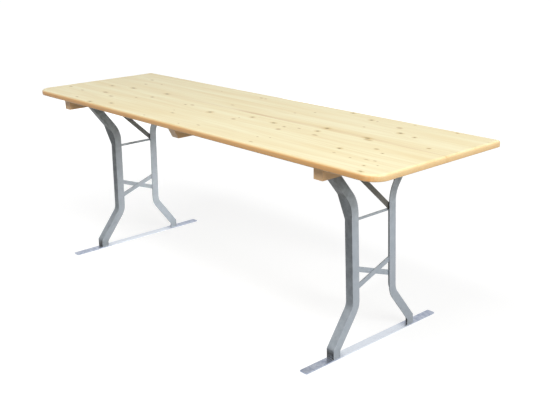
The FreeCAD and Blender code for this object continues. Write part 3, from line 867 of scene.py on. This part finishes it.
@dataclass
class Frame:
    """One welded frame: its finishes and the weld beads that join its bars."""

    side: Side
    axle_x: float = 780.0
    axle_z: float = 731.0
    splay_deg: float = 2.0
    waist_y: float = 119.5
    angle_width: float = 35.0
    angle_thickness: float = 3.0
    ankle_y: float = 225.8
    flare_deg: float = 38.0
    axle_leg_y: float = 246.1
    axle_radius: float = 6.0
    rod_z: float = 505.1
    rod_radius: float = 5.0
    rod_x: float = 1.0
    brace_z: tuple[float, float] = (318.0, 257.5)
    brace_width: float = 20.0
    brace_back_x: float = 10.8
    rising_drop: float = 5.0
    stay_foot_y: float = 106.5
    stay_head_y: float = -137.7
    foot_thickness: float = 5.0
    # Half widths of the beads, how far they sink into a corner, and how they are divided.
    foot_bead: float = 2.4
    axle_bead: float = 1.8
    rod_bead: float = 1.6
    flat_bead: float = 1.5
    corner_sink: float = 0.6
    round_sink: float = 0.8
    ring_lift: float = 0.4
    web_bead_ends: tuple[float, float] = (2.0, 1.0)
    flange_bead_ends: tuple[float, float] = (2.0, 5.0)
    stay_bead_reach: float = 9.0
    stay_bead_lift: float = 0.8
    stay_head_drop: float = 4.8
    bead_step: float = 1.5
    bead_sides: int = 8
    ring_points: int = 16
    ripple: float = 0.14
    ripple_steps: int = 3
    tip_width: float = 0.35

    @property
    def body(self) -> str:
        """The frame's body."""
        return "frame_" + self.side.label

    def dress_steel(
        self, paint: Material, dark: Material, zinc: Material, rubbed: Material
    ) -> None:
        """Dress the bars of the frame.

        Args:
            paint: the grey paint of the legs and braces.
            dark: the darker paint of the stay.
            zinc: the galvanised steel of the small parts.
            rubbed: the galvanised steel of the foot bar, with a painted highlight in its middle.
        """
        finishes = (
            (paint, ("leg_%s_front", "leg_%s_rear", "brace_rising_%s", "brace_falling_%s")),
            (paint, ("tie_rod_%s",)),
            (dark, ("stay_%s",)),
            (rubbed, ("foot_bar_%s",)),
            (zinc, ("axle_%s", "stop_arm_%s", "stop_pad_%s", "turn_button_%s", "button_post_%s")),
            (zinc, ("axle_strap_%s_front", "axle_strap_%s_rear")),
        )
        for finish, names in finishes:
            dress([name % self.side.label for name in names], finish)

    def place(self, x: float, y: float, z: float) -> Vector:
        """Turn a place on the upright frame to its splayed place.

        Args:
            x: distance from the axle along X.
            y: distance from the middle.
            z: height when upright.

        Returns:
            The place in the row frame, in metres.
        """
        lean = math.radians(self.splay_deg) * self.side.value
        down = z - self.axle_z
        out = self.side.value * self.axle_x + x * math.cos(lean) - down * math.sin(lean)
        return Vector((out, y, self.axle_z + x * math.sin(lean) + down * math.cos(lean))) * MM

    def bead_mesh(self, bead: Bead) -> Mesh:
        """Make a rippled weld bead along a path.

        Args:
            bead: its path and width.

        Returns:
            The bead.
        """
        steps = self._walk(bead)
        sides = self.bead_sides
        angles = [math.tau * k / sides for k in range(sides)]
        shape = bmesh.new()
        rings = []
        for number, (spot, along) in enumerate(steps):
            wave = abs(math.sin(number * math.pi / self.ripple_steps))
            ripple = 1 - self.ripple + self.ripple * wave
            tip = not bead.closed and number in (0, len(steps) - 1)
            width = bead.radius * MM * ripple * (self.tip_width if tip else 1.0)
            first = along.orthogonal().normalized()
            second = along.cross(first)
            around = [(first * math.cos(a) + second * math.sin(a)) * width for a in angles]
            rings.append([shape.verts.new(spot + out) for out in around])
        pairs = list(zip(rings, rings[1:])) + ([(rings[-1], rings[0])] if bead.closed else [])
        for here, there in pairs:
            shift = self._nearest_turn(here, there)
            for k in range(sides):
                a, b = here[k], here[(k + 1) % sides]
                c, d = there[(k + 1 + shift) % sides], there[(k + shift) % sides]
                shape.faces.new((a, b, c, d))
        if not bead.closed:
            shape.faces.new(rings[0])
            shape.faces.new(rings[-1])
        bmesh.ops.recalc_face_normals(shape, faces=shape.faces)
        mesh = bpy.data.meshes.new("weld_bead")
        shape.to_mesh(mesh)
        shape.free()
        mesh.polygons.foreach_set("use_smooth", [True] * len(mesh.polygons))
        return mesh

    @staticmethod
    def _nearest_turn(here: list[bmesh.types.BMVert], there: list[bmesh.types.BMVert]) -> int:
        """Return how far to turn one ring so that it meets the other without twist."""
        return min(range(len(here)), key=lambda turn: (there[turn].co - here[0].co).length)

    def _walk(self, bead: Bead) -> list[tuple[Vector, Vector]]:
        """Divide a bead's path into short steps.

        Args:
            bead: the bead.

        Returns:
            Place and direction of each step.
        """
        path = bead.path
        ends = path + path[:1] if bead.closed else path
        steps = []
        for start, end in zip(ends, ends[1:]):
            span = end - start
            count = max(1, round(span.length / (self.bead_step * MM)))
            steps += [(start + span * (i / count), span.normalized()) for i in range(count)]
        if not bead.closed:
            steps.append((path[-1], (path[-1] - path[-2]).normalized()))
        return steps

    def beads(self) -> dict[str, Bead]:
        """Return the weld beads by name."""
        beads = {}
        for end, sign in (("front", -1), ("rear", 1)):
            for name, bead in {**self._foot_beads(sign), **self._bar_beads(sign)}.items():
                beads[name + "_" + end] = bead
        face = self.axle_radius - self.round_sink
        reach = (-self.stay_bead_reach, self.stay_bead_reach)
        for name, lift in (("stay_above", 1), ("stay_below", -1)):
            z = self.rod_z + lift * self.rod_radius * self.stay_bead_lift
            spots = [self.place(face, self.stay_foot_y + d, z) for d in reach]
            beads[name] = Bead(spots, self.flat_bead)
        z = self.axle_z - self.stay_head_drop
        spots = [self.place(face, self.stay_head_y + d, z) for d in reach]
        beads["stay_axle"] = Bead(spots, self.rod_bead)
        return beads

    def _foot_beads(self, sign: int) -> dict[str, Bead]:
        """Return the beads that join one leg to the foot bar.

        Args:
            sign: -1 for the front leg, 1 for the rear.

        Returns:
            The beads along the web and the flange.
        """
        half = self.angle_width / 2
        back = half - self.angle_thickness
        outer = sign * self.ankle_y
        inner = sign * (self.ankle_y - self.angle_width)
        floor = self.foot_thickness
        front, rear = self.web_bead_ends
        web = [self.place(x, outer, floor) for x in (half - front, rear - half)]
        near, far = self.flange_bead_ends
        flange = [self.place(back, y, floor) for y in (inner + sign * near, outer - sign * far)]
        return {
            "foot_web": Bead(web, self.foot_bead),
            "foot_flange": Bead(flange, self.foot_bead),
        }

    def _bar_beads(self, sign: int) -> dict[str, Bead]:
        """Return the beads that join the rod, the axle and the braces to one leg.

        Args:
            sign: -1 for the front leg, 1 for the rear.

        Returns:
            The beads, rings round the rod and the axle among them.
        """
        rising_z, falling_z = self.brace_z if sign > 0 else self.brace_z[::-1]
        tall = (-self.brace_width / 2, self.brace_width / 2)
        back = self.angle_width / 2 - self.angle_thickness
        edge = sign * (self.waist_y - self.angle_width)
        rising = rising_z - self.rising_drop
        rising_x, rising_y = back + self.corner_sink, edge - sign * self.corner_sink
        reach = sign * (self.waist_y - self.angle_thickness - self.corner_sink)
        slope = (self.brace_z[0] - self.brace_z[1]) / 2 / (self.waist_y - self.angle_width)
        falling = falling_z - sign * slope * (self.angle_width - self.angle_thickness)
        brace = [self.place(rising_x, rising_y, rising + d) for d in tall]
        web = [self.place(self.brace_back_x, reach, falling + d) for d in tall]
        rod_y = sign * (self.waist_y - self.angle_thickness - self.round_sink)
        rod = self._ring((self.rod_x, rod_y, self.rod_z), self.rod_radius)
        axle_y = sign * (self.axle_leg_y + self.ring_lift)
        flare = sign * math.tan(math.radians(self.flare_deg))
        axle = self._ring((0.0, axle_y, self.axle_z), self.axle_radius, flare)
        return {
            "rod": Bead(rod, self.rod_bead, True),
            "axle": Bead(axle, self.axle_bead, True),
            "brace": Bead(brace, self.flat_bead),
            "brace_web": Bead(web, self.flat_bead),
        }

    def _ring(self, middle: Triple, radius: float, slope: float = 0.0) -> list[Vector]:
        """Return the ring where a round bar meets a leg.

        Args:
            middle: the bar's middle on the upright frame.
            radius: the bar's radius.
            slope: how far the leg leans along Y for each millimetre of rise.

        Returns:
            Places round the bar, in metres.
        """
        x, y, z = middle
        reach = radius + self.ring_lift
        angles = [math.tau * i / self.ring_points for i in range(self.ring_points)]
        spokes = [(reach * math.cos(a), reach * math.sin(a)) for a in angles]
        return [self.place(x + out, y + rise * slope, z + rise) for out, rise in spokes]

    def weld(self, material: Material) -> None:
        """Make the weld beads.

        Args:
            material: their finish.
        """
        for name, bead in self.beads().items():
            label = "weld_%s_%s" % (self.side.label, name)
            add_piece(label, self.bead_mesh(bead), material, self.body)


@dataclass(frozen=True)
class Softbox:
    """A soft lamp: its place, aim and size in metres, its power, its beam, and if it gleams."""

    name: str
    spot: Triple
    aim: Triple
    size: tuple[float, float]
    watts: float
    spread_deg: float = 180.0
    gleam: bool = True

    def hang(self) -> None:
        """Put the lamp in the scene."""
        lamp = bpy.data.lights.new(self.name, "AREA")
        lamp.shape = "RECTANGLE"
        lamp.size, lamp.size_y = self.size
        lamp.energy = self.watts
        lamp.spread = math.radians(self.spread_deg)
        box = bpy.data.objects.new(self.name, lamp)
        box.location = self.spot
        box.visible_camera = False
        box.visible_glossy = self.gleam
        look = Vector(self.aim) - Vector(self.spot)
        box.rotation_euler = look.to_track_quat("-Z", "Y").to_euler()
        bpy.context.scene.collection.objects.link(box)


@dataclass
class Studio:
    """The plain pale floor, the soft lights and the camera."""

    camera_mm: Triple = (2724.98, -2194.03, 1495.65)
    azimuth_deg: float = 48.21
    elevation_deg: float = 18.2
    roll_deg: float = -0.9
    focal_px: float = 838.52
    image_width_px: float = 553.0
    sensor_mm: float = 36.0
    floor_reach: float = 60.0
    floor_bounce: float = 0.3
    floor_seen: float = 0.25
    # The paper glows a little less near the table, so that the shadow shows and white stays white.
    floor_glow: Span = Span(1.5, 4.5, 0.85, 1.0)
    room_light: Span = Span(0.0, 1.0, 0.06, 1.0)
    lamps: tuple[Softbox, ...] = (
        Softbox("overhead_softbox", (0.5, -2.2, 5.0), (0.1, -0.1, 0.7), (4.5, 1.2), 186.0),
        Softbox("side_softbox", (5.4, -0.5, 2.9), (0.2, 0.0, 0.6), (4.6, 1.8), 235.0),
        Softbox("under_softbox", (0.5, 0.4, 0.16), (-0.8, 0.2, 0.2), (0.4, 0.3), 1.15, 50.0),
        Softbox("rear_softbox", (-3.2, 3.0, 0.4), (0.0, 0.0, 0.4), (4.5, 0.6), 60.0, gleam=False),
    )

    def set_up(self) -> None:
        """Build the whole studio."""
        bpy.context.scene.view_settings.view_transform = "Standard"
        self._floor()
        self._world()
        for lamp in self.lamps:
            lamp.hang()
        self._camera()

    def _floor(self) -> None:
        """Lay the floor: white where it is seen, with the table's shadow, and clear from below."""
        mesh = bpy.data.meshes.new("studio_floor")
        reach = self.floor_reach
        corners = [(-reach, -reach, 0), (reach, -reach, 0), (reach, reach, 0), (-reach, reach, 0)]
        mesh.from_pydata(corners, [], [(0, 1, 2, 3)])
        floor = bpy.data.objects.new("studio_floor", mesh)
        bpy.context.scene.collection.objects.link(floor)
        # Matt paper: even and white, with no gleam.
        material, tree = new_material("white_paper_floor")
        paper = add_node(tree, "BsdfDiffuse", {"Color": grey(self.floor_bounce)})
        seen_paper = add_node(tree, "BsdfDiffuse", {"Color": grey(self.floor_seen)})
        spot = add_node(tree, "TexCoord", out="Object")
        far = add_node(tree, "VectorMath", {0: spot}, "Value", operation="LENGTH")
        glow = add_node(tree, "MapRange", self.floor_glow.of(far))
        white = add_node(tree, "Emission", {"Color": grey(1.0), "Strength": glow})
        seen = add_node(tree, "AddShader", {0: seen_paper, 1: white})
        above = add_node(tree, "MixShader", {0: self._sight(tree), 1: paper, 2: seen})
        below = add_node(tree, "BsdfTransparent")
        turned = add_node(tree, "NewGeometry", out="Backfacing")
        both = add_node(tree, "MixShader", {0: turned, 1: above, 2: below})
        add_node(tree, "OutputMaterial", {"Surface": both})
        mesh.materials.append(material)

    @staticmethod
    def _sight(tree: Tree) -> Socket:
        """Add a value of 1 for rays from the camera, gloss or glass, which see the white.

        Args:
            tree: the node tree.

        Returns:
            The value.
        """
        rays = add_node(tree, "LightPath").node.outputs
        camera, gloss, glass = (
            rays["Is %s Ray" % kind] for kind in ("Camera", "Glossy", "Transmission")
        )
        pair = add_node(tree, "Math", {0: camera, 1: gloss}, operation="MAXIMUM")
        return add_node(tree, "Math", {0: pair, 1: glass}, operation="MAXIMUM")

    def _world(self) -> None:
        """Fill the room with soft light, white where it is seen."""
        world = bpy.data.worlds.new("white_room")
        bpy.context.scene.world = world
        world.use_nodes = True
        tree = world.node_tree
        tree.nodes.clear()
        strength = add_node(tree, "MapRange", self.room_light.of(self._sight(tree)))
        room = add_node(tree, "Background", {"Color": grey(1.0), "Strength": strength})
        add_node(tree, "OutputWorld", {"Surface": room})

    def _camera(self) -> None:
        """Set the camera where the photograph was taken."""
        angles = (self.azimuth_deg, self.elevation_deg, self.roll_deg)
        azimuth, elevation, roll = (math.radians(angle) for angle in angles)
        level = math.cos(elevation)
        back = Vector((math.sin(azimuth) * level, -math.cos(azimuth) * level, math.sin(elevation)))
        right = Vector((0, 0, 1)).cross(back).normalized()
        up = back.cross(right)
        rolled_right = right * math.cos(roll) + up * math.sin(roll)
        rolled_up = up * math.cos(roll) - right * math.sin(roll)
        lens = bpy.data.cameras.new("studio_camera")
        lens.sensor_fit = "HORIZONTAL"
        lens.sensor_width = self.sensor_mm
        lens.lens = self.focal_px / self.image_width_px * self.sensor_mm
        camera = bpy.data.objects.new("studio_camera", lens)
        turn = Matrix((rolled_right, rolled_up, back)).transposed().to_4x4()
        camera.matrix_world = Matrix.Translation(Vector(self.camera_mm) * MM) @ turn
        bpy.context.scene.collection.objects.link(camera)
        bpy.context.scene.camera = camera


def main() -> None:
    """Build the table piece by piece."""
    logging.basicConfig(level=logging.INFO, format="%(message)s")
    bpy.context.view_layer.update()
    Studio().set_up()
    top = Top()
    top.dress_wood()
    # Sprayed satin paint: even pale grey with soft highlights, with painted shade on the webs and
    # the upper legs.
    paint = PaintedSteel("grey_paint_on_steel", "#B0B8C0", "#A4ADB6").build()
    # Dull old paint: dark warm grey that hardly shines.
    dull = Span(0.3, 0.7, 0.44, 0.58)
    dark = PaintedSteel("dark_paint_on_steel", "#64625E", "#565450", roughness=dull).build()
    # Zinc gone dull under the top: mid grey metal with a faint spangle.
    zinc = ZincSteel("galvanised_steel", colour="#C3C8CE", dull="#9AA0A8").build()
    # Zinc that shoes rub, with a painted highlight where it is bright in the middle of the bar;
    # bluish and dull at its ends, which also paints the shade by the legs.
    rubbed = ZincSteel(
        "rubbed_galvanised_steel", colour="#E4EAF2", dull="#8A94AD", rubbed_and_highlight_mm=215.0
    ).build()
    # Thin plating on small heads: bright, with only fine marks.
    plated = ZincSteel(
        "zinc_plated_screw", colour="#CBCBC6", dull="#A5A59F", spangle_mm=2.0, scuff_mm=6.0
    ).build()
    # Paint over a rough bead: the same grey, broken up more finely.
    weld = PaintedSteel(
        "painted_weld", "#A7ACB3", "#90959C", mottle_mm=6.0, speck_mm=1.5
    ).build()
    for side in Side:
        trestle = Frame(side)
        trestle.dress_steel(paint, dark, zinc, rubbed)
        trestle.weld(weld)
    screws = Screws()
    screws.place(ScrewHead.RAISED, top.batten_screw_places(), plated)
    screws.place(ScrewHead.PAN, screws.strap_places(), plated)


if __name__ == "__main__":
    main()
